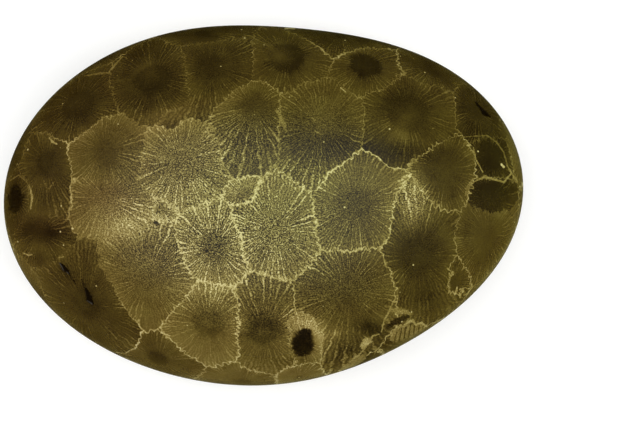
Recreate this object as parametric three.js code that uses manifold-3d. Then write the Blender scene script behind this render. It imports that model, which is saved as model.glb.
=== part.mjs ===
// A palm-sized stone, ground and polished from a fossil coral head. It is one solid: an egg-shaped pebble
// with a round crown, a shallower underside, and a flat ground on the underside that it rests on.
//
// Millimetres. +X runs along the stone, +Y across it and +Z up. The origin lies in the rest face, under the
// middle of the stone's box.

import * as THREE from "three";
import { mergeVertices } from "three/addons/utils/BufferGeometryUtils.js";
import Module from "manifold-3d";

// Driving dimensions.
const LENGTH = 65;
const WIDTH = 45;
const CROWN = 14; // from the widest line up to the top
const UNDERSIDE = 11; // from the widest line down to the rest face
const GROUND_OFF = 1.4; // the depth that grinding the rest face took away
const FULLNESS = 2.25; // exponent of the side profile: 2 is an ellipse, and more is squarer
const CROWN_SHIFT = new THREE.Vector2(-1.2, 0.8); // how far the top stands from the middle

// The outline from above is an ellipse that swells in a few low waves. Each is a number of waves in a turn,
// a share of the radius, and the direction of one crest in degrees.
const SWELLS = [
  { waves: 2, share: 0.016, crest: 50 },
  { waves: 3, share: 0.022, crest: 20 },
  { waves: 4, share: 0.009, crest: 24 },
];

// How finely the solid is faceted.
const STEPS_AROUND = 72;
const STEPS_UP = 36;

const STONE_COLOUR = 0x5a5030;

const wasm = await Module();
wasm.setup();

// The distance from the middle to the widest line, in a direction given in radians.
function rimRadius(direction) {
  const ellipse = 1 / Math.hypot(Math.cos(direction) / (LENGTH / 2), Math.sin(direction) / (WIDTH / 2));
  const swell = SWELLS.reduce(
    (sum, { waves, share, crest }) => sum + share * Math.cos(waves * (direction - THREE.MathUtils.degToRad(crest))),
    0,
  );
  return ellipse * (1 + swell);
}

// The pebble before its rest face is ground, with its widest line at height 0.
function pebble() {
  const geometry = new THREE.SphereGeometry(1, STEPS_AROUND, STEPS_UP).rotateX(Math.PI / 2);
  const place = geometry.getAttribute("position");
  const point = new THREE.Vector3();
  const rounding = 2 / FULLNESS;
  for (let i = 0; i < place.count; i++) {
    point.fromBufferAttribute(place, i);
    const direction = Math.atan2(point.y, point.x);
    const reach = rimRadius(direction) * Math.hypot(point.x, point.y) ** rounding;
    const rise = Math.abs(point.z) ** rounding;
    const lean = point.z > 0 ? rise * rise : 0;
    place.setXYZ(
      i,
      reach * Math.cos(direction) + CROWN_SHIFT.x * lean,
      reach * Math.sin(direction) + CROWN_SHIFT.y * lean,
      point.z > 0 ? rise * CROWN : -rise * (UNDERSIDE + GROUND_OFF),
    );
  }
  return geometry;
}

// A closed geometry as a manifold-3d solid.
function solidOf(geometry) {
  const bare = geometry.clone();
  bare.deleteAttribute("normal");
  bare.deleteAttribute("uv");
  const merged = mergeVertices(bare, 1e-4);
  return new wasm.Manifold(
    new wasm.Mesh({
      numProp: 3,
      vertProperties: merged.getAttribute("position").array,
      triVerts: new Uint32Array(merged.index.array),
    }),
  );
}

// A manifold-3d solid as a three.js geometry.
function geometryOf(solid) {
  const { vertProperties, triVerts } = solid.getMesh();
  return new THREE.BufferGeometry()
    .setAttribute("position", new THREE.BufferAttribute(vertProperties, 3))
    .setIndex(new THREE.BufferAttribute(triVerts, 1));
}

// Grinds the rest face: whatever lies deeper than the underside is cut away.
function ground(geometry) {
  const depth = 2 * GROUND_OFF;
  const waste = new THREE.BoxGeometry(2 * LENGTH, 2 * WIDTH, depth).translate(0, 0, -UNDERSIDE - depth / 2);
  return geometryOf(solidOf(geometry).subtract(solidOf(waste)));
}

// Puts the middle of the box over the origin, with the rest face at height 0, at exactly the stated size.
function centred(geometry) {
  geometry.center().computeBoundingBox();
  const size = geometry.boundingBox.getSize(new THREE.Vector3());
  geometry.scale(LENGTH / size.x, WIDTH / size.y, 1);
  return geometry.translate(0, 0, (CROWN + UNDERSIDE) / 2);
}

const stone = new THREE.Mesh(
  centred(ground(pebble())),
  new THREE.MeshStandardMaterial({ color: STONE_COLOUR, roughness: 0.3, metalness: 0 }),
);
stone.name = "fossil_coral_stone";

const part = new THREE.Group();
part.add(stone);

export default part;
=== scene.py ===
"""A palm-sized pebble of fossil coral, polished all over, lying on a plain pale floor.

The pebble is one piece. Its markings are the cups of the coral, cut across: each is a many-sided cell with
a dark middle, a ring of fine rays and a thin pale wall whose zigzag follows the ends of the rays.
"""

import math

import bpy
import numpy as np
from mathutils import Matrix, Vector


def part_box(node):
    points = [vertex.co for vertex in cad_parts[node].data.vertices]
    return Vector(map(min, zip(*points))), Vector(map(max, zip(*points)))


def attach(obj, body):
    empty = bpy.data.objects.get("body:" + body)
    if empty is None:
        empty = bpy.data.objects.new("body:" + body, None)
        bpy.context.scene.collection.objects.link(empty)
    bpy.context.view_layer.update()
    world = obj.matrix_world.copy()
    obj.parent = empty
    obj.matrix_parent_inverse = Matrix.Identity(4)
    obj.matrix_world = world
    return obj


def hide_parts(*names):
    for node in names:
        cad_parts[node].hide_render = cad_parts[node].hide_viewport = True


MM = 0.001

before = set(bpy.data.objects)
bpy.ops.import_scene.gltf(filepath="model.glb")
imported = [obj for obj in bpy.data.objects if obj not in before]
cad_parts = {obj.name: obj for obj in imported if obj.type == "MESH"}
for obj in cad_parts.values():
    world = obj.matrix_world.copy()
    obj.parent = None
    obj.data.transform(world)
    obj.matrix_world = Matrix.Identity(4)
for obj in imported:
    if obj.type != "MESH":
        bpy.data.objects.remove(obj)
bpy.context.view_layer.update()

NODE = "fossil_coral_stone"
LOW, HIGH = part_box(NODE)
MIDDLE = (LOW + HIGH) / 2
HALF = (HIGH - LOW) / 2

# The cups that show on top, in millimetres from the middle of the stone: where the rays meet, how far the
# cup reaches beside its neighbours and the radius of its dark middle. Then three tones from 0, black, to 1,
# white: of the middle, of the rays around it and of the wall. A long cup spreads from further places too,
# each with its own reach.
TOP_CUPS = [
    # along the far edge
    (-20.5, 18.6, 5.2, 1.6, 0.20, 0.28, 0.50),
    (-23.0, 12.4, 6.6, 2.6, 0.19, 0.27, 0.46),
    (-13.8, 15.9, 6.9, 2.4, 0.17, 0.26, 0.50),
    (-6.6, 17.3, 6.2, 2.2, 0.20, 0.27, 0.40, (-8.0, 12.6, 2.6), (-11.5, 11.0, 2.9)),
    (-7.6, 21.3, 4.6, 1.2, 0.20, 0.27, 0.48),
    (2.7, 18.4, 5.6, 2.5, 0.17, 0.30, 0.48),
    (12.6, 17.4, 5.4, 2.1, 0.16, 0.31, 0.56),
    (9.6, 21.2, 6.3, 1.2, 0.20, 0.26, 0.52),
    (21.0, 17.0, 4.2, 1.4, 0.22, 0.28, 0.42),
    (18.0, 11.7, 7.0, 3.0, 0.19, 0.29, 0.44),
    (26.6, 11.8, 4.6, 1.4, 0.19, 0.25, 0.40),
    (28.2, 5.9, 3.4, 2.0, 0.16, 0.22, 0.36),
    (31.8, 6.6, 3.2, 0.9, 0.28, 0.30, 0.42),
    (22.6, 4.2, 4.9, 3.2, 0.26, 0.34, 0.78),
    # across the middle, far side
    (-31.1, 6.3, 3.6, 1.2, 0.18, 0.24, 0.40),
    (-30.8, 0.9, 3.6, 1.3, 0.12, 0.25, 0.42),
    (-27.0, 5.4, 4.8, 1.6, 0.20, 0.28, 0.52, (-27.0, 1.2, 3.9)),
    (-19.6, 6.6, 6.1, 1.9, 0.30, 0.38, 0.54),
    (-19.7, 0.9, 4.9, 1.2, 0.38, 0.41, 0.56, (-16.6, 0.0, 3.6)),
    (-10.2, 5.6, 6.0, 1.8, 0.42, 0.47, 0.66),
    (-1.3, 12.2, 4.2, 1.8, 0.29, 0.35, 0.72, (-3.2, 8.6, 4.9)),
    (7.1, 9.9, 7.0, 1.8, 0.34, 0.34, 0.56),
    (-27.8, -3.4, 3.8, 1.4, 0.22, 0.26, 0.34),
    # across the middle, near side
    (-12.8, -0.4, 2.0, 0.8, 0.38, 0.52, 1.00),
    (-2.4, 1.2, 2.2, 0.8, 0.40, 0.54, 1.00),
    (1.7, -3.1, 6.3, 1.6, 0.45, 0.50, 0.92),
    (11.4, 0.1, 7.0, 2.4, 0.29, 0.43, 0.92),
    (19.1, -6.4, 5.6, 2.8, 0.22, 0.30, 0.72, (18.1, 0.2, 3.4), (20.0, -10.2, 4.6), (21.6, -12.6, 3.4)),
    (28.3, 0.5, 3.4, 2.2, 0.17, 0.20, 0.40),
    (-6.3, -5.2, 5.4, 1.9, 0.31, 0.54, 0.95),
    (-14.5, -9.1, 6.7, 1.8, 0.37, 0.43, 0.66, (-12.9, -3.6, 2.2)),
    # along the near edge
    (-22.0, -12.2, 6.7, 2.2, 0.22, 0.30, 0.52),
    (-28.5, -10.8, 3.8, 1.2, 0.22, 0.30, 0.52),
    (-13.0, -18.9, 4.6, 1.5, 0.24, 0.36, 0.82),
    (-7.0, -14.5, 5.9, 2.1, 0.29, 0.48, 0.92),
    (-2.6, -22.0, 4.2, 1.2, 0.30, 0.38, 0.74),
    (0.1, -15.4, 5.1, 2.1, 0.23, 0.39, 0.84, (0.6, -11.6, 4.2), (0.2, -18.5, 4.4)),
    (4.4, -21.4, 4.3, 0.6, 0.36, 0.46, 0.86),
    (4.9, -16.8, 3.6, 0.5, 0.20, 0.50, 0.56, (4.8, -15.2, 3.4)),
    (10.4, -10.7, 7.3, 2.4, 0.31, 0.37, 0.84, (10.0, -17.6, 3.6), (9.2, -20.0, 3.0)),
    (13.2, -20.6, 3.6, 0.6, 0.24, 0.29, 0.80),
    (18.8, -18.4, 4.4, 0.5, 0.26, 0.34, 0.80),
    (23.6, -9.4, 1.9, 0.8, 0.25, 0.30, 0.80, (24.1, -7.1, 1.5), (23.2, -10.8, 1.6)),
    (27.6, -3.8, 5.0, 1.2, 0.28, 0.31, 0.46),
]

# Where the walls are pushed sideways from that even layout, in millimetres: the place, how far east and
# north, and how far around the push is felt.
PUSHES = [
    (6.0, 1.8, 1.4, -1.1, 2.6),
    (1.9, 9.2, 0.9, 0.0, 3.0),
    (1.9, 6.0, 0.6, 0.0, 1.6),
    (-5.4, 7.0, 0.6, 0.1, 2.2),
    (-5.0, 13.4, -0.5, 0.5, 2.0),
    (12.2, 7.4, -1.2, 0.7, 2.2),
    (15.0, 5.6, -0.3, -0.5, 1.8),
    (8.7, 18.7, 0.7, -1.6, 2.2),
    (16.9, 16.1, -0.8, -2.0, 2.2),
    (14.2, 14.1, 0.0, -0.8, 1.8),
    (-1.1, 20.2, 1.0, 0.0, 2.0),
    (-9.4, 17.5, 0.5, 0.0, 2.2),
    (-21.5, -3.9, 0.0, 0.7, 2.0),
    (-20.0, -4.3, 1.0, 0.3, 1.6),
    (9.5, -5.8, 0.0, -0.65, 3.0),
    (6.0, -7.6, 0.45, -0.45, 2.0),
    (1.5, -9.3, 0.0, -0.5, 2.0),
    (-3.2, -19.0, 0.9, 0.2, 1.8),
    (-2.9, -13.0, -0.35, 0.0, 2.0),
    (4.4, -20.0, 0.0, -1.2, 1.6),
    (6.6, -19.8, 0.3, -1.0, 1.3),
    (1.7, -21.3, 0.8, 0.0, 1.4),
    (7.2, -19.4, 0.0, -0.7, 1.2),
    (-16.2, -17.2, 1.9, 0.0, 2.2),
    (18.6, 3.7, 0.7, 0.0, 1.3),
    (7.2, -16.2, -0.6, 0.0, 1.2),
    (3.3, -17.3, 0.6, 0.0, 1.2),
    (19.8, 15.1, 0.0, -0.5, 1.8),
    (23.9, 14.0, 0.8, 0.2, 2.0),
    (24.0, -1.1, 1.0, 0.3, 1.8),
    (16.0, -1.8, -1.0, 0.2, 1.6),
    (25.7, 2.9, -0.9, 0.0, 1.2),
    (24.1, 11.5, 0.4, 0.0, 1.8),
    (26.6, 6.3, 0.5, 0.0, 1.6),
]

# Where the stone is frosted and sheened: its surface is grainy and paler there, partly frosting and partly a
# painted reflection of the overhead lamp, in soft patches given in millimetres by their middle, their half
# length and half width, and their strength.
FROST_AND_SHEEN = [
    (-7.0, -4.0, 7.5, 5.5, 0.80),
    (1.8, -3.5, 6.0, 5.5, 0.72),
    (-9.6, 4.4, 7.0, 5.0, 0.70),
    (-17.5, -1.5, 5.0, 4.0, 0.40),
    (11.0, -0.5, 6.5, 5.0, 0.40),
    (18.6, 0.8, 2.0, 3.0, 0.70),
    (-2.5, 8.0, 4.5, 3.5, 0.38),
    (4.3, 4.0, 3.0, 1.8, 0.40),
    (7.0, 8.5, 6.0, 4.0, 0.34),
    (-14.5, -7.5, 5.0, 4.0, 0.22),
    (0.0, -14.0, 5.0, 4.0, 0.30),
    (-7.0, -12.5, 4.0, 3.0, 0.25),
    (10.0, -10.0, 6.0, 4.0, 0.30),
    (11.0, -18.0, 4.0, 2.5, 0.20),
    (5.0, -15.0, 2.4, 1.8, 0.25),
    (18.0, -15.5, 3.5, 2.0, 0.12),
]

# Clouds in the stone, darker or paler than the cups around them; the first, a long dark band, is painted
# shade.
# In millimetres: the middle, half length and half width, the turn in degrees and the change of tone.
CLOUDS_AND_SHADE = [
    # painted shade: a long dark band across the cups
    (14.0, 6.8, 7.5, 1.6, -4, -0.13),
    (1.9, 18.7, 1.3, 1.0, -20, 0.26),
    (17.2, 10.2, 2.2, 1.8, 40, 0.22),
    (18.3, 8.0, 3.2, 0.9, 0, 0.06),
    (-14.1, 16.5, 1.4, 1.1, 0, 0.14),
    (-12.6, 11.3, 3.8, 1.2, 10, 0.09),
    (-23.2, 12.6, 1.3, 1.1, 0, 0.05),
    (6.0, 7.5, 4.0, 2.5, 0, -0.04),
    (7.5, 12.5, 4.5, 1.8, 0, 0.04),
    (-8.5, 12.2, 4.0, 1.4, 22, 0.05),
    (-4.3, 12.7, 3.4, 1.0, 38, 0.07),
    (-2.7, -0.4, 0.9, 0.5, 0, -0.12),
    (-3.2, 6.0, 2.6, 1.6, 0, 0.05),
    (4.3, 4.0, 2.6, 1.4, -30, 0.06),
    (-22.5, 8.6, 2.4, 1.0, 35, 0.05),
    (-17.0, -2.6, 5.5, 1.7, 10, 0.26),
    (-18.2, -0.2, 5.0, 2.0, 10, 0.09),
    (-9.0, 1.8, 3.5, 1.6, 0, 0.12),
    (18.6, 1.0, 1.7, 3.0, 0, 0.34),
    (-7.0, -10.2, 4.5, 1.0, 0, 0.14),
    (-27.2, -3.3, 3.6, 1.0, -6, -0.11),
    (-27.6, -5.4, 2.6, 0.9, 0, 0.06),
    (-27.4, 2.6, 1.6, 0.8, 0, 0.05),
    (-23.3, -4.4, 1.4, 1.0, -40, -0.06),
    (-24.7, -8.0, 1.3, 0.7, -48, -0.08),
    (-21.8, -11.2, 1.5, 0.8, -70, -0.07),
    (-14.0, 9.4, 1.6, 0.9, 20, 0.06),
    (-29.8, -7.6, 3.0, 1.4, -60, 0.07),
    (-5.0, -21.4, 5.0, 1.2, 0, 0.07),
    (11.2, -3.8, 4.0, 1.6, 0, -0.07),
    (5.2, -14.6, 2.4, 1.0, -20, 0.20),
    (7.2, -16.4, 0.9, 1.6, 20, 0.16),
    (4.9, -19.4, 2.4, 0.6, 0, -0.14),
    (9.0, -15.9, 0.5, 0.4, 30, 0.20),
    (10.0, -18.3, 2.8, 1.4, 30, -0.12),
    (10.4, -19.8, 1.8, 0.5, 35, 0.06),
    (13.6, -15.3, 1.8, 1.0, -20, -0.20),
    (-7.0, -14.6, 0.8, 0.8, 0, 0.16),
    (0.1, -15.8, 0.8, 0.7, 0, 0.14),
    (20.5, -11.5, 2.5, 1.5, 0, -0.06),
    (31.4, 6.6, 3.0, 0.9, 100, 0.08),
    (26.0, 8.6, 3.5, 1.0, 0, -0.06),
    (28.4, 2.0, 2.2, 1.0, 0, -0.06),
    (11.5, -19.6, 3.0, 1.0, 30, -0.05),
    (14.8, -17.6, 2.0, 1.2, 35, -0.08),
]

# Stretches of wall that are chalkier, or fainter, than their cup's walls, in the same way.
CHALK = [
    (-10.4, -6.8, 2.4, 0.9, -75, 0.25),
    (-16.0, -16.8, 2.8, 0.9, 70, 0.34),
    (28.6, -0.8, 3.6, 1.0, 0, -0.24),
    (7.2, 19.8, 2.6, 1.0, -40, 0.25),
    (9.8, 19.0, 2.4, 0.9, 15, 0.22),
    (-1.2, 18.6, 2.4, 0.8, 90, 0.12),
    (-4.5, 13.9, 4.0, 1.0, 35, -0.20),
    (8.2, 4.3, 2.6, 1.0, 45, 0.30),
    (-24.0, 2.2, 5.0, 1.2, 90, 0.34),
    (-25.2, 7.7, 2.0, 0.9, -20, 0.26),
    (-21.2, 9.2, 3.6, 0.9, 33, 0.22),
    (-19.4, 3.0, 4.2, 1.2, 0, -0.20),
    (16.6, 18.2, 2.4, 1.0, 100, 0.30),
    (24.1, 11.4, 3.0, 1.0, 90, 0.16),
    (28.6, 3.9, 2.8, 1.0, 0, 0.34),
    (30.9, 5.4, 2.6, 0.8, -70, 0.20),
    (-18.2, 18.6, 2.0, 0.8, 20, 0.22),
    (13.6, 9.0, 1.6, 1.0, 90, 0.22),
    (14.0, 13.2, 1.6, 1.0, 0, 0.14),
    (-19.4, -8.6, 3.4, 1.2, -60, -0.22),
    (-18.3, -12.2, 1.4, 0.8, -50, 0.30),
    (-2.4, -4.0, 3.4, 1.2, 90, 0.22),
    (-1.0, 0.8, 1.6, 0.9, 90, 0.20),
    (-6.8, -10.2, 5.0, 1.0, 0, 0.10),
    (11.2, 6.2, 5.5, 1.2, 0, 0.14),
    (-27.0, -5.4, 3.5, 1.6, 0, -0.16),
    (-27.2, -0.4, 3.2, 1.6, 0, -0.26),
    (-11.8, 10.2, 3.6, 0.9, 20, 0.10),
    (-6.5, 12.6, 5.0, 1.2, 30, 0.02),
    (22.6, 8.4, 1.8, 1.2, 40, -0.10),
    (10.0, 15.0, 3.0, 1.2, -30, -0.08),
]

# Where the stone's colour leans to green, or to brown, in the same way, as a share of the colour circle.
GREEN = [
    (3.0, 2.0, 17.0, 12.0, 0, 0.030),
    (5.0, -15.5, 3.0, 2.5, 0, -0.007),
    (-19.5, 1.0, 3.5, 2.2, 0, -0.012),
    (-12.0, 10.5, 5.0, 1.5, 25, -0.010),
    (-27.5, -2.8, 3.5, 1.5, 0, -0.014),
    (30.0, 6.0, 3.0, 6.0, 0, 0.014),
    (4.0, 21.5, 18.0, 2.5, 0, 0.010),
]
# How much greener the stone is all over, how much more to the east, and where that is full, in millimetres.
GREENER_ALL = -0.003
GREENER_EAST = 0.006
GREENEST_EAST = 25

# Cups below the widest line, in rings: how many, how far out as a share of the way to the rim, and their
# height in millimetres.
LOWER_RINGS = [(21, 1.0, 5.5), (13, 0.72, 1.0), (7, 0.34, 0.0), (1, 0.0, 0.0)]
# How far such a cup reaches and by how much that varies, in millimetres. Then the ranges that the radius of
# its dark middle and its three tones are drawn from.
LOWER_REACH = 5.0
LOWER_REACH_VARIES = 0.7
LOWER_EYE = (1.4, 2.4)
LOWER_DARK = (0.17, 0.3)
LOWER_RAYS = (0.27, 0.42)
LOWER_WALL = (0.45, 0.8)

# The height of the widest line, in millimetres. Beside it the colour is painted paler: painted light,
# standing in for light let through where the stone is thin.
WIDEST = 11.0
PAINTED_RIM_TALL = 2.4
PAINTED_GLOW_TALL = 6.0

# Pits in the surface, in millimetres: the points of the line that each follows, with its half width there,
# and its depth.
PITS = [
    ([(-25.2, -7.2, 0.08), (-24.8, -7.7, 0.24), (-24.4, -8.1, 0.22), (-24.1, -8.5, 0.08)], 0.10),
    ([(-22.0, -10.3, 0.08), (-21.8, -11.0, 0.24), (-21.6, -11.6, 0.32), (-21.2, -12.2, 0.12)], 0.12),
    ([(26.4, 12.9, 0.06), (27.2, 11.9, 0.18), (27.6, 11.4, 0.25), (28.2, 11.1, 0.10)], 0.10),
]
# Creamy flecks and streaks, and dark ones, in the same way: their points with half widths, then the tone.
STREAKS = [
    ([(-24.1, -8.5, 0.14), (-23.3, -9.7, 0.06)], 0.14),
    ([(-22.5, -9.2, 0.06), (-22.2, -10.2, 0.14), (-21.9, -10.8, 0.12)], 0.12),
    ([(-30.8, 2.0, 0.60), (-30.85, 0.9, 0.95), (-30.9, -0.2, 0.70)], 0.06),
    ([(-31.5, 3.1, 0.05), (-30.4, 3.8, 0.08), (-29.4, 2.9, 0.06)], 0.42),
    ([(-22.3, 16.1, 0.05), (-20.6, 16.4, 0.13), (-19.3, 16.5, 0.10)], 0.42),
    ([(-19.2, 16.5, 0.06), (-18.5, 17.4, 0.11), (-17.5, 18.5, 0.06)], 0.50),
    ([(-25.4, -6.5, 0.06), (-24.8, -6.4, 0.10)], 0.56),
    ([(-26.6, 8.4, 0.08), (-26.2, 7.9, 0.14), (-25.6, 7.6, 0.08)], 0.66),
    ([(-29.9, -5.9, 0.05), (-29.2, -6.2, 0.11), (-28.7, -6.1, 0.06)], 0.60),
    ([(1.6, 11.9, 0.08), (2.0, 11.2, 0.24), (2.6, 10.0, 0.20), (2.9, 9.2, 0.08)], 0.52),
    ([(-6.9, 10.1, 0.08), (-6.4, 9.6, 0.30), (-5.8, 8.9, 0.08)], 0.54),
    ([(-27.4, 3.3, 0.06), (-26.7, 1.9, 0.16), (-25.9, 3.0, 0.06)], 0.34),
    ([(2.7, 22.0, 0.08), (3.4, 22.1, 0.16), (3.9, 22.0, 0.06)], 0.72),
    ([(9.6, 14.6, 0.06), (10.2, 14.1, 0.10)], 0.72),
    ([(6.0, 10.9, 0.06), (6.6, 10.5, 0.09)], 0.52),
    ([(6.5, 9.2, 0.06), (7.1, 8.8, 0.09)], 0.52),
    ([(-29.1, 2.5, 0.06), (-28.7, 1.2, 0.14), (-28.9, -0.5, 0.08)], 0.62),
    ([(5.2, -16.0, 0.80), (5.0, -16.9, 1.22), (4.85, -17.5, 1.28)], 0.05),
    ([(10.7, -19.5, 0.10), (12.1, -18.4, 0.10), (13.0, -17.3, 0.10)], 0.6),
    ([(13.0, -17.3, 0.10), (13.6, -16.2, 0.12), (14.4, -16.0, 0.08)], 0.6),
    ([(12.4, -17.6, 0.30), (12.8, -16.9, 0.50), (12.9, -16.6, 0.20)], 0.68),
    ([(16.5, -11.4, 0.10), (16.0, -12.3, 0.10), (15.5, -13.4, 0.10)], 0.6),
    ([(15.5, -13.4, 0.10), (15.0, -14.3, 0.10), (14.7, -15.7, 0.08)], 0.6),
    ([(15.8, -13.0, 0.15), (16.6, -13.0, 0.38), (17.6, -13.2, 0.32), (18.3, -13.5, 0.12)], 0.55),
    ([(15.5, -15.1, 0.20), (16.6, -14.4, 0.42), (18.0, -13.85, 0.20)], 0.15),
    ([(9.8, -20.4, 0.22), (11.2, -19.7, 0.38), (12.4, -18.9, 0.34)], 0.50),
    ([(16.3, -16.4, 0.55), (17.8, -15.7, 0.85), (19.6, -15.2, 0.45)], 0.50),
    ([(15.9, -16.3, 0.10), (16.2, -15.7, 0.15), (17.1, -14.9, 0.13), (17.2, -15.4, 0.10)], 0.62),
    ([(17.3, -15.3, 0.08), (17.9, -14.5, 0.15), (18.6, -14.3, 0.18), (18.9, -14.9, 0.13)], 0.62),
    ([(18.9, -14.9, 0.10), (19.7, -14.6, 0.13), (20.3, -15.1, 0.08)], 0.62),
    ([(16.6, -15.8, 0.07), (16.3, -17.0, 0.09)], 0.30),
    ([(17.2, -15.3, 0.07), (16.9, -16.8, 0.10)], 0.26),
    ([(17.7, -15.2, 0.11), (17.5, -16.6, 0.07)], 0.24),
    ([(18.3, -14.9, 0.07), (18.1, -16.4, 0.10)], 0.28),
    ([(18.8, -15.0, 0.10), (18.7, -16.1, 0.07)], 0.26),
    ([(19.4, -14.9, 0.07), (19.3, -15.8, 0.08)], 0.30),
    ([(19.9, -15.0, 0.06), (19.8, -15.5, 0.07)], 0.30),
    ([(-13.3, -2.1, 0.20), (-13.0, -2.3, 0.16)], 0.14),
    ([(26.1, 7.2, 0.05), (26.4, 5.7, 0.09), (27.3, 4.1, 0.06)], 0.58),
    ([(26.1, 3.3, 0.10), (25.5, 2.4, 0.22), (25.1, 1.2, 0.08)], 0.52),
    ([(24.9, 8.5, 0.06), (27.8, 8.7, 0.08), (29.0, 7.9, 0.08), (29.9, 6.6, 0.09), (30.5, 4.5, 0.1)], 0.42),
    ([(26.1, 2.9, 0.08), (27.5, 3.6, 0.12), (28.7, 3.2, 0.12), (29.9, 2.9, 0.10), (30.8, 3.9, 0.1)], 0.56),
    ([(30.3, 5.0, 0.06), (31.0, 3.9, 0.10), (31.6, 3.0, 0.08)], 0.55),
    ([(24.1, -10.2, 0.08), (24.0, -10.6, 0.14)], 0.66),
    ([(29.6, 5.1, 0.12), (29.9, 4.8, 0.14)], 0.85),
]

RAYS = 44  # in a cup of full size
FULL_REACH = 6.5
CANDIDATES = 4  # nearby cups that a spot on the stone is measured against
FAR = 99.0  # further than any two places on the stone are from each other, in millimetres

# What each random field or list is drawn from.
PIT_SEED = 5
STREAK_SEED = 6
CUP_SEED = 11
WALL_SEED = 100


# --- The stone's shape -------------------------------------------------------------------------------------

WELD = 0.01 * MM  # corners of the worked solid that are this close are one
SPLIT_MARGINS = (0.35, 0.2, 0.12)  # how far around a line its faces are split, in millimetres, turn by turn
EDGE_WAVE = 0.9  # the length of the waves in the edge of a pit or streak, in millimetres
PIT_WAVES = 0.25  # how strong they are in a pit's edge, as a share of its half width
STREAK_WAVES = 0.3  # the same in a streak's edge
STREAK_WAVES_MOST = 0.2  # but no more than this many millimetres
PIT_BANK = 1.4  # how many half widths from its line a pit begins


def only(*things):
    """Selects these objects and nothing else, with the last one active."""
    bpy.ops.object.select_all(action="DESELECT")
    for thing in things:
        thing.select_set(True)
    bpy.context.view_layer.objects.active = things[-1]


def finish_modifier(thing, kind, **settings):
    """Adds a modifier to a thing and applies it."""
    only(thing)
    modifier = thing.modifiers.new(kind.title(), kind)
    for name, value in settings.items():
        setattr(modifier, name, value)
    bpy.ops.object.modifier_apply(modifier=modifier.name)


def smooth_form():
    """The worked solid without its facets: a merged and subdivided copy."""
    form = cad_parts[NODE].copy()
    form.data = form.data.copy()
    form.parent = None
    bpy.context.scene.collection.objects.link(form)
    only(form)
    bpy.ops.object.mode_set(mode="EDIT")
    bpy.ops.mesh.select_all(action="SELECT")
    bpy.ops.mesh.remove_doubles(threshold=WELD)
    bpy.ops.mesh.tris_convert_to_quads()
    bpy.ops.object.mode_set(mode="OBJECT")
    finish_modifier(form, "SUBSURF", levels=2, render_levels=2)
    return form


def line_reach(points, line):
    """How far each point on top lies from a line: 0 is on it and 1 is at its half width."""
    nearest = np.full(len(points), FAR)
    for (x, y, first), (next_x, next_y, last) in zip(line, line[1:]):
        start, way = np.array([x, y]), np.array([next_x - x, next_y - y])
        along = np.clip(((points[:, :2] - start) @ way) / (way @ way), 0, 1)
        distance = np.linalg.norm(points[:, :2] - start - along[:, None] * way, axis=1)
        nearest = np.minimum(nearest, distance / (first + (last - first) * along))
    nearest[points[:, 2] < MIDDLE.z / MM] = FAR
    return nearest


def points_of(thing):
    """A thing's vertices in millimetres."""
    flat = np.zeros(len(thing.data.vertices) * 3)
    thing.data.vertices.foreach_get("co", flat)
    return flat.reshape(-1, 3) / MM


def corners_of(thing):
    """The number of the vertex at each corner of each face."""
    corners = np.zeros(len(thing.data.loops), dtype=np.int64)
    thing.data.loops.foreach_get("vertex_index", corners)
    return corners


def refine_lines(stone):
    """Splits the faces around the pits and streaks three times, so that their edges are crisp."""
    only(stone)
    for margin in SPLIT_MARGINS:
        points = points_of(stone)
        near = np.zeros(len(points), dtype=bool)
        for line, _ in [*PITS, *STREAKS]:
            near |= line_reach(points, [(x, y, half + margin) for x, y, half in line]) < 1
        bpy.ops.object.mode_set(mode="EDIT")
        bpy.ops.mesh.select_mode(type="VERT")
        bpy.ops.mesh.select_all(action="DESELECT")
        bpy.ops.object.mode_set(mode="OBJECT")
        stone.data.vertices.foreach_set("select", near)
        bpy.ops.object.mode_set(mode="EDIT")
        bpy.ops.mesh.subdivide(number_cuts=1)
        bpy.ops.mesh.select_all(action="SELECT")
        bpy.ops.mesh.quads_convert_to_tris()
        bpy.ops.object.mode_set(mode="OBJECT")


def ragged(points, size, seed):
    """A smooth random field from -1 to 1 over points in millimetres, with waves of about this size."""
    draw = np.random.default_rng(seed)
    total = np.zeros(len(points))
    waves = 6
    for _ in range(waves):
        way = draw.normal(size=3)
        way /= np.linalg.norm(way)
        pace = 2 * math.pi / size * draw.uniform(0.7, 1.5)
        total += np.sin(points @ way * pace + draw.uniform(0, 2 * math.pi))
    return total / math.sqrt(waves / 2) / 2


def sink_pits(stone):
    """Sinks the pits and keeps how much earth each point holds, as the attribute "earth", from 0 to 1."""
    points = points_of(stone)
    deepest = np.zeros(len(points))
    earth = np.zeros(len(points))
    for line, depth in PITS:
        reach = line_reach(points, line) * (1 + PIT_WAVES * ragged(points, EDGE_WAVE, PIT_SEED))
        bowl = np.clip(PIT_BANK - reach, 0, 1)
        deepest = np.maximum(deepest, bowl * bowl * (3 - 2 * bowl) * depth)
        earth = np.maximum(earth, np.clip(1 - reach / 2, 0, 1))
    group = stone.vertex_groups.new(name="sink")
    for index in np.nonzero(deepest)[0]:
        group.add([int(index)], float(deepest[index]), "REPLACE")
    finish_modifier(stone, "DISPLACE", strength=-1 * MM, mid_level=0, vertex_group="sink")
    stone.vertex_groups.clear()
    keep(stone, "earth", earth)


def draw_streaks(stone):
    """Keeps how strongly a streak shows at each point, from 0 to 1, and that streak's tone."""
    points = points_of(stone)
    shown = np.zeros(len(points))
    tone = np.zeros(len(points))
    for line, level in STREAKS:
        ragged_by = min(STREAK_WAVES, STREAK_WAVES_MOST / max(half for _, _, half in line))
        reach = line_reach(points, line) * (1 + ragged_by * ragged(points, EDGE_WAVE, STREAK_SEED))
        near = np.clip(1 - reach / 2, 0, 1)
        tone = np.where((near > shown) | (near > 0.5), level, tone)
        shown = np.maximum(shown, near)
    keep(stone, "streak", shown)
    keep(stone, "streak_tone", tone)


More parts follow.
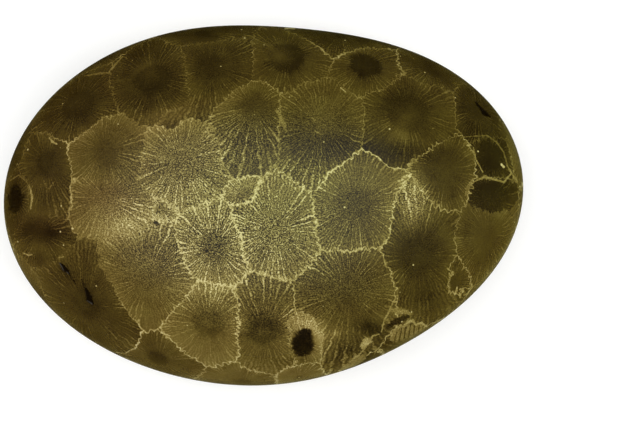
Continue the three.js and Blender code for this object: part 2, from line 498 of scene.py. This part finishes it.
def keep(stone, name, values):
    """Keeps one number for each point of the stone."""
    attribute = stone.data.attributes.new(name, "FLOAT", "POINT")
    attribute.data.foreach_set("value", values.astype(np.float32))


def make_stone():
    """The pebble: a round form drawn onto the worked solid and smoothed, then pitted."""
    form = smooth_form()
    bpy.ops.object.select_all(action="DESELECT")
    bpy.ops.mesh.primitive_ico_sphere_add(subdivisions=7, radius=1, location=MIDDLE, scale=HALF)
    stone = bpy.context.object
    stone.name = stone.data.name = "polished_pebble"
    bpy.ops.object.transform_apply(location=True, rotation=True, scale=True)
    finish_modifier(stone, "SHRINKWRAP", target=form, wrap_method="NEAREST_SURFACEPOINT")
    finish_modifier(stone, "SMOOTH", factor=0.5, iterations=4)
    bpy.data.objects.remove(form)
    refine_lines(stone)
    sink_pits(stone)
    draw_streaks(stone)
    only(stone)
    bpy.ops.object.shade_smooth()
    return stone


# --- The cups, laid out on the stone -----------------------------------------------------------------------

TOP_FROM = MIDDLE.z / MM - 1.5  # the height from which a cup counts as on top, in millimetres
WAVER = 0.3  # how far a wall bends to and fro, in millimetres
WAVER_LENGTH = 3.6
FULL_RAYS_FROM = 1.1  # a cup of this many full sizes or more has no further rays


def stone_normals(stone):
    """The direction in which each point of the stone faces."""
    flat = np.zeros(len(stone.data.vertices) * 3)
    stone.data.vertex_normals.foreach_get("vector", flat)
    return flat.reshape(-1, 3)


def cup_list(stone):
    """Every cup as a dictionary, with its places and upright direction taken from the stone's surface."""
    points, normals = points_of(stone), stone_normals(stone)
    upper = np.nonzero(points[:, 2] > TOP_FROM)[0]
    draw = np.random.default_rng(CUP_SEED)
    cups = []

    def add(indices, reaches, look):
        cups.append(
            {
                "places": [points[i] for i in indices],
                "reaches": reaches,
                "up": normals[indices[0]],
                "look": look,
                "turn": draw.uniform(0, 2 * math.pi),
            }
        )

    def on_top(x, y):
        return upper[np.argmin(np.hypot(points[upper, 0] - x, points[upper, 1] - y))]

    for x, y, reach, eye, dark, rays, wall, *lobes in TOP_CUPS:
        spread = [(x, y, reach), *lobes]
        add([on_top(a, b) for a, b, _ in spread], [r for _, _, r in spread], (eye, dark, rays, wall))
    for count, out, height in LOWER_RINGS:
        for k in range(count):
            way = 2 * math.pi * (k + 0.5 * draw.uniform(-0.5, 0.5)) / count
            aim = np.array([HALF.x / MM * out * math.cos(way), HALF.y / MM * out * math.sin(way), height])
            aim[2] += draw.uniform(-1, 1)
            index = int(np.argmin(np.linalg.norm(points - aim, axis=1)))
            look = tuple(draw.uniform(*span) for span in (LOWER_EYE, LOWER_DARK, LOWER_RAYS, LOWER_WALL))
            add([index], [LOWER_REACH + draw.uniform(-LOWER_REACH_VARIES, LOWER_REACH_VARIES)], look)
    return cups


def cup_distance(cup, number, points):
    """How far points lie from a cup, less its reach, with a slow waver that bends its walls."""
    nearest = np.full(len(points), FAR)
    for place, reach in zip(cup["places"], cup["reaches"]):
        nearest = np.minimum(nearest, np.linalg.norm(points - place, axis=1) - reach)
    return nearest + WAVER * ragged(points, WAVER_LENGTH, WALL_SEED + number)


def before_pushes(points):
    """The places that the points had in the even layout, before the walls were pushed."""
    before = points.copy()
    for x, y, east, north, wide in PUSHES:
        share = np.exp(-((points[:, 0] - x) ** 2 + (points[:, 1] - y) ** 2) / wide**2)
        before[:, 0] -= east * share
        before[:, 1] -= north * share
    return before


def cup_directions(cups):
    """Two directions over the surface of each cup, square to each other and turned at random."""
    across, along = [], []
    for cup in cups:
        side = np.cross(cup["up"], [0.3, 0.9, 0.2])
        side /= np.linalg.norm(side)
        other = np.cross(cup["up"], side)
        turn = cup["turn"]
        across.append(math.cos(turn) * side + math.sin(turn) * other)
        along.append(math.cos(turn) * other - math.sin(turn) * side)
    return np.array(across), np.array(along)


def ray_count(cup):
    """How many rays a cup has: fewer in a small one."""
    return round(RAYS * math.sqrt(min(FULL_RAYS_FROM, max(cup["reaches"]) / FULL_REACH)))


def lay_out_cups(stone):
    """Gives each corner of each face its place in the nearest few cups.

    "cup_1" to "cup_4" hold the place across the cup, the place up it, the distance less the reach, and the
    number of rays. "look_1" to "look_4" hold the radius of the middle and the tones of the middle, the rays
    and the wall.
    """
    cups = cup_list(stone)
    points, corners = points_of(stone), corners_of(stone)
    before = before_pushes(points)
    distance = np.stack([cup_distance(cup, k, before) for k, cup in enumerate(cups)])
    on_faces = distance[:, corners.reshape(-1, 3)].mean(axis=2)
    order = np.argsort(on_faces, axis=0)[:CANDIDATES]
    across, along = cup_directions(cups)
    eyes = np.array([cup["places"][0] for cup in cups])
    looks = np.array([cup["look"] for cup in cups])
    rays = np.array([ray_count(cup) for cup in cups])
    for k in range(CANDIDATES):
        cup = np.repeat(order[k], 3)
        way = points[corners] - eyes[cup]
        chord = np.linalg.norm(way, axis=1)
        u, v = (way * across[cup]).sum(axis=1), (way * along[cup]).sum(axis=1)
        stretch = chord / np.maximum(np.hypot(u, v), 1e-6)
        place = np.stack([u * stretch, v * stretch, distance[cup, corners], rays[cup]], axis=1)
        for name, values in ((f"cup_{k + 1}", place), (f"look_{k + 1}", looks[cup])):
            attribute = stone.data.attributes.new(name, "FLOAT_COLOR", "CORNER")
            attribute.data.foreach_set("color", values.astype(np.float32).ravel())


def soft_patch(points, x, y, long, wide, turn=0):
    """1 in the middle of an oval patch on top of the stone, falling softly to 0 outside it."""
    cos, sin = math.cos(math.radians(turn)), math.sin(math.radians(turn))
    east, north = points[:, 0] - x, points[:, 1] - y
    reach = ((east * cos + north * sin) / long) ** 2 + ((north * cos - east * sin) / wide) ** 2
    return np.exp(-reach) * (points[:, 2] > MIDDLE.z / MM)


def spread(points, patches):
    """The sum of soft patches at each point, where a patch's last number is its strength."""
    return sum(strength * soft_patch(points, *patch) for *patch, strength in patches)


def spread_patches(stone):
    """Keeps how frosted, clouded, chalky and green each point is, as attributes named for them; the frosting
    holds a painted sheen, and the clouds some painted shade.
    """
    points = points_of(stone)
    keep(stone, "frost", np.minimum(spread(points, FROST_AND_SHEEN), 1))
    keep(stone, "cloud", spread(points, CLOUDS_AND_SHADE))
    keep(stone, "chalk", spread(points, CHALK))
    east = np.clip(points[:, 0] / GREENEST_EAST, -1, 1)
    keep(stone, "green", spread(points, GREEN) + GREENER_EAST * east + GREENER_ALL)


def mark_painted_rim_light(stone):
    """Keeps how near each point is to the widest line, as two masks of painted light: a narrow band and a
    wide one.

    The wide band fades out along the far side.
    """
    points = points_of(stone)
    height = points[:, 2] - WIDEST
    way = np.arctan2(points[:, 1] / HALF.y, points[:, 0] / HALF.x)
    near_side = 0.5 + 0.5 * np.tanh(3 * (0.25 - np.sin(way)))
    keep(stone, "rim", np.exp(-((height / PAINTED_RIM_TALL) ** 2)))
    keep(stone, "glow", np.exp(-((height / PAINTED_GLOW_TALL) ** 2)) * near_side)


# --- Shader sums -------------------------------------------------------------------------------------------


class Value:
    """A number that a material works out at each spot, used in ordinary Python sums."""

    def __init__(self, finish, socket):
        self.finish = finish
        self.socket = socket

    def sum(self, operation, *others, clamp=False):
        values = [self, *others]
        settings = {"operation": operation, "use_clamp": clamp}
        return self.finish.node("Math", settings, dict(enumerate(values)))

    def __add__(self, other):
        return self.sum("ADD", other)

    def __sub__(self, other):
        return self.sum("SUBTRACT", other)

    def __rsub__(self, other):
        return self.finish.node("Math", {"operation": "SUBTRACT"}, {0: other, 1: self})

    def __mul__(self, other):
        return self.sum("MULTIPLY", other)

    def __truediv__(self, other):
        return self.sum("DIVIDE", other)

    def __rtruediv__(self, other):
        return self.finish.node("Math", {"operation": "DIVIDE"}, {0: other, 1: self})

    def __pow__(self, other):
        return self.sum("POWER", other)

    def __le__(self, other):
        return 1 - self.sum("GREATER_THAN", other)

    __radd__ = __add__
    __rmul__ = __mul__

    def least(self, other):
        return self.sum("MINIMUM", other)

    def most(self, other):
        return self.sum("MAXIMUM", other)

    def clear(self):
        """Kept between 0 and 1."""
        return self.sum("ADD", 0.0, clamp=True)

    def rise(self, start, end):
        """0 below start and 1 above end, with a smooth change between."""
        settings = {"interpolation_type": "SMOOTHSTEP"}
        return self.finish.node("MapRange", settings, {"Value": self, "From Min": start, "From Max": end})

    def wave(self):
        """A smooth wave from 0 to 1 that repeats each time the number grows by 1."""
        return (self * (2 * math.pi)).sum("COSINE") * 0.5 + 0.5


class Finish:
    """One material, with its nodes."""

    def __init__(self, name):
        self.material = bpy.data.materials.new(name)
        self.material.use_nodes = True
        self.tree = self.material.node_tree
        self.shader = self.tree.nodes["Principled BSDF"]

    def node(self, kind, settings=None, inputs=None, output=0):
        """Adds a node: its type, its settings, then the values or links of its sockets."""
        made = self.tree.nodes.new("ShaderNode" + kind)
        for name, value in (settings or {}).items():
            if name == "stops":
                self.set_stops(made.color_ramp.elements, value)
            else:
                setattr(made, name, value)
        self.plug(made, inputs or {})
        return Value(self, made.outputs[output])

    @staticmethod
    def set_stops(elements, stops):
        elements[0].position, elements[0].color = stops[0]
        elements[1].position, elements[1].color = stops[-1]
        for position, tint in stops[1:-1]:
            elements.new(position).color = tint

    def plug(self, node, inputs):
        for name, value in inputs.items():
            if isinstance(value, Value):
                self.tree.links.new(value.socket, node.inputs[name])
            else:
                node.inputs[name].default_value = value

    def place(self):
        return self.node("TexCoord", output="Object")

    def attribute(self, name):
        """An attribute's first three numbers as a colour, and its fourth."""
        made = self.node("Attribute", {"attribute_name": name}, output="Color")
        return made, Value(self, made.socket.node.outputs["Alpha"])

    def number(self, name):
        return self.node("Attribute", {"attribute_name": name}, output="Fac")

    def parts(self, colour):
        made = self.node("SeparateColor", inputs={0: colour})
        return [Value(self, made.socket.node.outputs[k]) for k in range(3)]

    def mix(self, share, first, second):
        return self.node("Mix", {"data_type": "RGBA"}, {0: share, 6: first, 7: second}, output=2)

    def mix_numbers(self, share, first, second):
        return self.node("Mix", {"data_type": "FLOAT"}, {0: share, 2: first, 3: second})

    def noise(self, size, detail=2.0, roughness=0.5, other=None):
        """Cloudy noise whose lumps are about this many millimetres across; "other" picks another noise."""
        inputs = {"Vector": self.place(), "Scale": 1 / (size * MM), "Detail": detail, "Roughness": roughness}
        if other is None:
            return self.node("TexNoise", {}, inputs)
        return self.node("TexNoise", {"noise_dimensions": "4D"}, inputs | {"W": other})

    def painted_glints(self, spacing, size, share):
        """Painted glints: 1 inside scattered specks of this half width, for this share of the places that
        could hold one.
        """
        inputs = {"Vector": self.place(), "Scale": 1 / (spacing * MM)}
        made = self.node("TexVoronoi", {}, inputs, "Distance")
        draw, other, _ = self.parts(Value(self, made.socket.node.outputs["Color"]))
        held = draw <= share
        return held * (1 - (made * (spacing / size) - other).rise(0.0, 1.0))


def colour(red, green, blue, dim=1.0):
    """A colour named from 0 to 255, dimmed and turned to the linear numbers that a shader takes."""

    def linear(value):
        value /= 255
        return dim * (value / 12.92 if value <= 0.04045 else ((value + 0.055) / 1.055) ** 2.4)

    return (linear(red), linear(green), linear(blue), 1.0)


# --- The finish of the stone -------------------------------------------------------------------------------

# The stone's colour for each tone, from the black of its pits to the cream of its walls, as it looks in
# bright studio light: the colour itself is dimmer by this much.
STUDIO_DIM = 0.70
TONES = [
    (0.00, colour(12, 6, 0, STUDIO_DIM)),
    (0.10, colour(31, 21, 2, STUDIO_DIM)),
    (0.18, colour(48, 37, 4, STUDIO_DIM)),
    (0.25, colour(64, 51, 9, STUDIO_DIM)),
    (0.35, colour(87, 72, 19, STUDIO_DIM)),
    (0.50, colour(119, 102, 42, STUDIO_DIM)),
    (0.65, colour(150, 133, 68, STUDIO_DIM)),
    (0.80, colour(181, 166, 102, STUDIO_DIM)),
    (1.00, colour(222, 210, 152, STUDIO_DIM)),
]


TOOTH = 0.8  # twice the height of the teeth along a wall, in millimetres
FRAY = 0.9  # how unevenly a wall wanders between them, in millimetres
PARTING = 1.9  # how much the distances to two cups part for each millimetre from the wall between them

BEAD = 0.24  # the length of a ray's beads, in millimetres
RAY_STRENGTHS = ((0.5, 1.0), (0.0, 0.55))  # shift and strength: the strong rays, then the faint between
RAY_SHARPNESS = 3.2
RAY_SHUFFLE = 3.7  # keeps the rays of two cups with unlike counts from being alike

GRAIN = 0.14  # the size of the grain, in millimetres
PATCH = 3.0  # the size of the stone's soft patches
WANDER_LENGTH = 1.1  # the length of the bends in a ray
WANDER = 0.9  # how far a ray bends from side to side, as a share of the room between rays
GLINT_SPACING = 1.4  # millimetres between the places that could hold a painted glint
GLINT_HALF = 0.09  # a painted glint's half width, in millimetres
GLINT_SHARE = 0.40  # how many of the places hold one
EARTH_TONE = 0.05
RIM_PAINTED_LIGHT = 0.19  # painted light: how much paler the colour is painted at the widest line, and around it
GLOW_PAINTED_LIGHT = 0.08
POLISH = 0.26  # the roughness of the polished stone
FROSTED = 0.2  # how much rougher it is where it is frosted


def owner(finish):
    """Picks the cup that each spot lies in.

    Returns the place across it and up it, its number of rays, its look as four numbers, and the distance to
    the nearest wall in millimetres.
    """
    places, counts, looks, walls, scores = [], [], [], [], []
    for k in range(CANDIDATES):
        place, count = finish.attribute(f"cup_{k + 1}")
        look, wall = finish.attribute(f"look_{k + 1}")
        u, v, distance = finish.parts(place)
        turn = v.sum("ARCTAN2", u) * count / (2 * math.pi)
        teeth = turn.sum("PINGPONG", 0.5)
        red, green, _ = finish.parts(look)
        uneven = finish.noise(0.6, detail=0.0, other=red * 9 + green * 70)
        scores.append(distance + teeth * TOOTH + uneven * FRAY)
        places.append(place)
        counts.append(count)
        looks.append(look)
        walls.append(wall)
    low_a, high_a = scores[0].least(scores[1]), scores[0].most(scores[1])
    low_b, high_b = scores[2].least(scores[3]), scores[2].most(scores[3])
    first = low_a.least(low_b)
    second = low_a.most(low_b).least(high_a.least(high_b))
    place, count, look, wall = places[0], counts[0], looks[0], walls[0]
    for k in range(1, CANDIDATES):
        here = scores[k] <= first
        place = finish.mix(here, place, places[k])
        look = finish.mix(here, look, looks[k])
        count = finish.mix_numbers(here, count, counts[k])
        wall = finish.mix_numbers(here, wall, walls[k])
    u, v, _ = finish.parts(place)
    return u, v, count, (*finish.parts(look), wall), (second - first) / PARTING


def rays_of(finish, turn, count):
    """Thin pale lines, with fainter ones between, each of its own strength and broken into beads."""
    bead = 0.4 + 0.6 * finish.noise(BEAD, detail=0.0).rise(0.3, 0.6)
    shares = []
    for shift, strength in RAY_STRENGTHS:
        number = (turn + shift).sum("FLOOR") + count * RAY_SHUFFLE + shift
        own = finish.node("TexWhiteNoise", {"noise_dimensions": "1D"}, {"W": number})
        shares.append((turn + (0.5 - shift)).wave() ** RAY_SHARPNESS * (0.3 + 0.7 * own) * strength)
    return shares[0].most(shares[1]) * bead


def eye_over_rays(finish, eye, eye_tone, ray_tone, out, share, ray, uneven):
    """The tone from the middle outwards, and how far a spot is in the eye.

    There is a dark eye, crisp where it is black, then a ring that grows paler outwards.
    """
    blur = (eye_tone * 2.6 - 0.12).most(0.1)
    eye_rim = out / eye / (0.7 + 0.6 * uneven) + (ray - 0.3) * 0.25
    in_eye = 1 - eye_rim.rise(1 - blur, 1 + blur * 0.7)
    ring_tone = ray_tone + share.rise(0.6, 1.0) * 0.05 - 0.03
    return finish.mix_numbers(in_eye, ring_tone, eye_tone), in_eye


def ray_swing(finish, wall_tone, share, in_eye, frost):
    """How strongly the rays show: more where frosted, partly as a painted sheen, and at a pale wall, and less
    in the eye.
    """
    shown = 0.3 + 0.7 * finish.noise(2.2, detail=1.0).rise(0.36, 0.6)
    ends = share.rise(0.72, 1.0) * (wall_tone - 0.3)
    return (0.25 * shown + 0.72 * frost + 0.40 * ends) * share.rise(0.15, 0.6) * (1 - 0.6 * in_eye)


def wall_line(wall_tone, edge, uneven):
    """1 on the wall and 0 beside it. Its width is uneven, and a paler wall is wider."""
    width = (0.03 + 0.15 * (wall_tone - 0.3)) * (0.3 + 1.4 * uneven)
    return 1 - (edge / width).rise(0.3, 1.7)


def streaks_over(finish, tone, ray, grain, uneven):
    """The tone with the streaks drawn over it."""
    streak = (finish.number("streak") + grain * 0.25 + (0.3 - ray) * 0.12).rise(0.38, 0.62)
    streak_tone = finish.number("streak_tone") * (0.75 + 0.5 * uneven) + grain * 0.5
    return finish.mix_numbers(streak * 0.94, tone, streak_tone)


def tint(finish, tone, rim, patchy):
    """The stone's colour for its tone, greener or browner in places, and with painted light at the edge that
    shifts its hue and fades it.
    """
    plain = finish.node("ValToRGB", {"stops": TONES}, {"Fac": tone.clear()})
    green = 0.5 + finish.number("green") + patchy * 0.02 + rim * 0.016
    return finish.node("HueSaturation", {}, {"Hue": green, "Saturation": 1 - 0.15 * rim, "Color": plain})


def stone_finish():
    """The polished coral: the cups first, then what lies over them."""
    finish = Finish("polished_coral")
    u, v, count, (eye, eye_tone, ray_tone, wall_tone), edge = owner(finish)
    out = (u * u + v * v).sum("SQRT")
    share = out / (out + edge)
    frost = finish.number("frost")
    rim = finish.number("rim")
    wall_tone = wall_tone + finish.number("chalk")
    grain = finish.noise(GRAIN, detail=0.0) - 0.5
    patchy = finish.noise(PATCH, detail=4.0, roughness=0.6) - 0.5
    uneven = finish.noise(1.0)
    wander = (finish.noise(WANDER_LENGTH, detail=1.0) - 0.5) * WANDER
    ray = rays_of(finish, v.sum("ARCTAN2", u) * count / (2 * math.pi) + wander, count)

    tone, in_eye = eye_over_rays(finish, eye, eye_tone, ray_tone, out, share, ray, uneven)
    # the stone's clouds, with painted shade among them
    tone = tone + patchy * 0.16 + finish.number("cloud") * (1 - in_eye * 0.5)
    # stronger rays where frosted: partly frosting, partly a painted sheen of the overhead reflection
    tone = tone + (ray - 0.22) * ray_swing(finish, wall_tone, share, in_eye, frost)
    # coarser grain where frosted: partly frosting, partly a painted sheen of the overhead reflection
    tone = tone + grain * (0.14 + 1.45 * frost)
    line = wall_line(wall_tone, edge, uneven)
    tone = finish.mix_numbers(line * (0.4 + 0.7 * uneven).clear(), tone, wall_tone + grain * 0.6)

    # streaks and painted glints over the cups, painted light beside the widest line for light let through,
    # and earth in the pits
    tone = streaks_over(finish, tone, ray, grain, uneven)
    # painted light beside the widest line, paler in a narrow band and a wide one
    tone = tone + rim * RIM_PAINTED_LIGHT + finish.number("glow") * GLOW_PAINTED_LIGHT
    # painted glints: tiny pale specks standing in for highlights
    tone = finish.mix_numbers(finish.painted_glints(GLINT_SPACING, GLINT_HALF, GLINT_SHARE) * 0.9, tone, 1.0)
    earthy = (finish.number("earth") + grain * 0.5).rise(0.25, 0.62)
    tone = finish.mix_numbers(earthy, tone, EARTH_TONE)

    relief = grain * frost + line * 0.3
    bump = finish.node("Bump", {}, {"Strength": 0.12, "Distance": 0.05 * MM, "Height": relief})
    roughness = POLISH + FROSTED * frost
    tinted = tint(finish, tone, rim, patchy)
    finish.plug(finish.shader, {"Base Color": tinted, "Roughness": roughness, "Normal": bump})
    return finish.material


# --- The oval maps that a copy of the colours can be baked into ---------------------------------------------

TOP_OVAL = 0.43  # half the width of the top's oval, as a share of the map
UNDER_OVAL = 0.25
TOP_OVAL_UP = 0.67  # how far up the map its middle lies
UNDER_OVAL_UP = 0.185


def add_oval_maps(stone):
    """A UV map of two ovals, the top above the underside, with the steep sides spread out."""
    points, corners = points_of(stone), corners_of(stone)
    centred = (points - np.array(MIDDLE) / MM) / (np.array(HALF) / MM)
    way = np.arctan2(centred[:, 1], centred[:, 0])
    out = 1 - np.arctan2(np.abs(centred[:, 2]), np.hypot(centred[:, 0], centred[:, 1])) / (math.pi / 2)
    upper = np.repeat(centred[corners].reshape(-1, 3, 3)[:, :, 2].mean(axis=1) > 0, 3)
    signed = np.where(upper, 1.0, -1.0) * centred[corners, 2]
    reach = np.where(signed < 0, 2 - out[corners], out[corners])
    width = np.where(upper, TOP_OVAL, UNDER_OVAL)
    tall = width * HALF.y / HALF.x
    middle_v = np.where(upper, TOP_OVAL_UP, UNDER_OVAL_UP)
    across = 0.5 + width * reach * np.cos(way[corners])
    up = middle_v + tall * reach * np.sin(way[corners])
    layer = stone.data.uv_layers.new(name="OFBake")
    layer.data.foreach_set("uv", np.stack([across, up], axis=1).astype(np.float32).ravel())


# --- The studio --------------------------------------------------------------------------------------------

FLOOR_WIDTH = 3.0
FLOOR_GLOW_COLOUR = (0.98, 0.99, 1.0, 1.0)
FLOOR_GLOW = 0.2
LAMP_TINT = (1.0, 0.96, 0.84)
SKY_COLOUR = (0.9, 0.9, 0.89, 1.0)
SKY_STRENGTH = 0.85
# Soft lamps, in metres: name, place, width, watts, and whether the stone mirrors it.
LAMPS = [
    ("overhead", (0.0, -0.06, 0.9), 0.8, 1.9, True),
    ("left", (-0.9, 0.3, 0.6), 1.0, 7, False),
    ("right", (0.9, -0.2, 0.6), 1.0, 7, False),
]
CAMERA_AIM = Vector((7.05, -0.88, 11.0)) * MM
FRAME_WIDTH = 79.8 * MM
CAMERA_RISE = 2.0


def make_floor():
    """A plain pale sheet that the stone doesn't mirror."""
    bpy.ops.object.select_all(action="DESELECT")
    bpy.ops.mesh.primitive_plane_add(size=FLOOR_WIDTH)
    floor = bpy.context.object
    floor.name = "floor"
    finish = Finish("pale_floor")
    paper = finish.noise(3.0, detail=3.0)
    white = finish.mix(paper * 0.3, colour(240, 242, 247), colour(234, 236, 241))
    finish.plug(finish.shader, {"Base Color": white, "Roughness": 0.9, "Specular IOR Level": 0.0})
    finish.plug(finish.shader, {"Emission Color": FLOOR_GLOW_COLOUR, "Emission Strength": FLOOR_GLOW})
    floor.data.materials.append(finish.material)
    floor.visible_glossy = False
    return floor


def make_camera():
    """A camera straight above the stone, far enough away to see it almost without perspective."""
    data = bpy.data.cameras.new("camera")
    camera = bpy.data.objects.new("camera", data)
    bpy.context.scene.collection.objects.link(camera)
    camera.location = CAMERA_AIM + Vector((0, 0, CAMERA_RISE))
    data.sensor_width = 36
    data.lens = data.sensor_width * CAMERA_RISE / FRAME_WIDTH
    data.clip_start = 0.01
    bpy.context.scene.camera = camera


def softbox(name, place, width, watts, shines):
    """A soft lamp aimed at the stone. One that doesn't shine lights the stone without a reflection."""
    data = bpy.data.lights.new(name, "AREA")
    data.shape = "RECTANGLE"
    data.size = data.size_y = width
    data.energy = watts
    data.color = LAMP_TINT
    lamp = bpy.data.objects.new(name, data)
    bpy.context.scene.collection.objects.link(lamp)
    lamp.location = place
    lamp.rotation_euler = (MIDDLE - Vector(place)).to_track_quat("-Z", "Y").to_euler()
    lamp.visible_camera = False
    lamp.visible_glossy = shines


def make_studio():
    """Soft light from all around, and the lamps."""
    world = bpy.data.worlds.new("studio")
    bpy.context.scene.world = world
    world.use_nodes = True
    sky = world.node_tree.nodes["Background"]
    sky.inputs["Color"].default_value = SKY_COLOUR
    sky.inputs["Strength"].default_value = SKY_STRENGTH
    world.cycles_visibility.glossy = False
    bpy.context.scene.view_settings.view_transform = "Standard"
    for lamp in LAMPS:
        softbox(*lamp)


make_camera()
make_studio()
floor = make_floor()

stone = make_stone()
lay_out_cups(stone)
spread_patches(stone)
mark_painted_rim_light(stone)
add_oval_maps(stone)
stone.data.materials.append(stone_finish())
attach(stone, "root")
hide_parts(NODE)
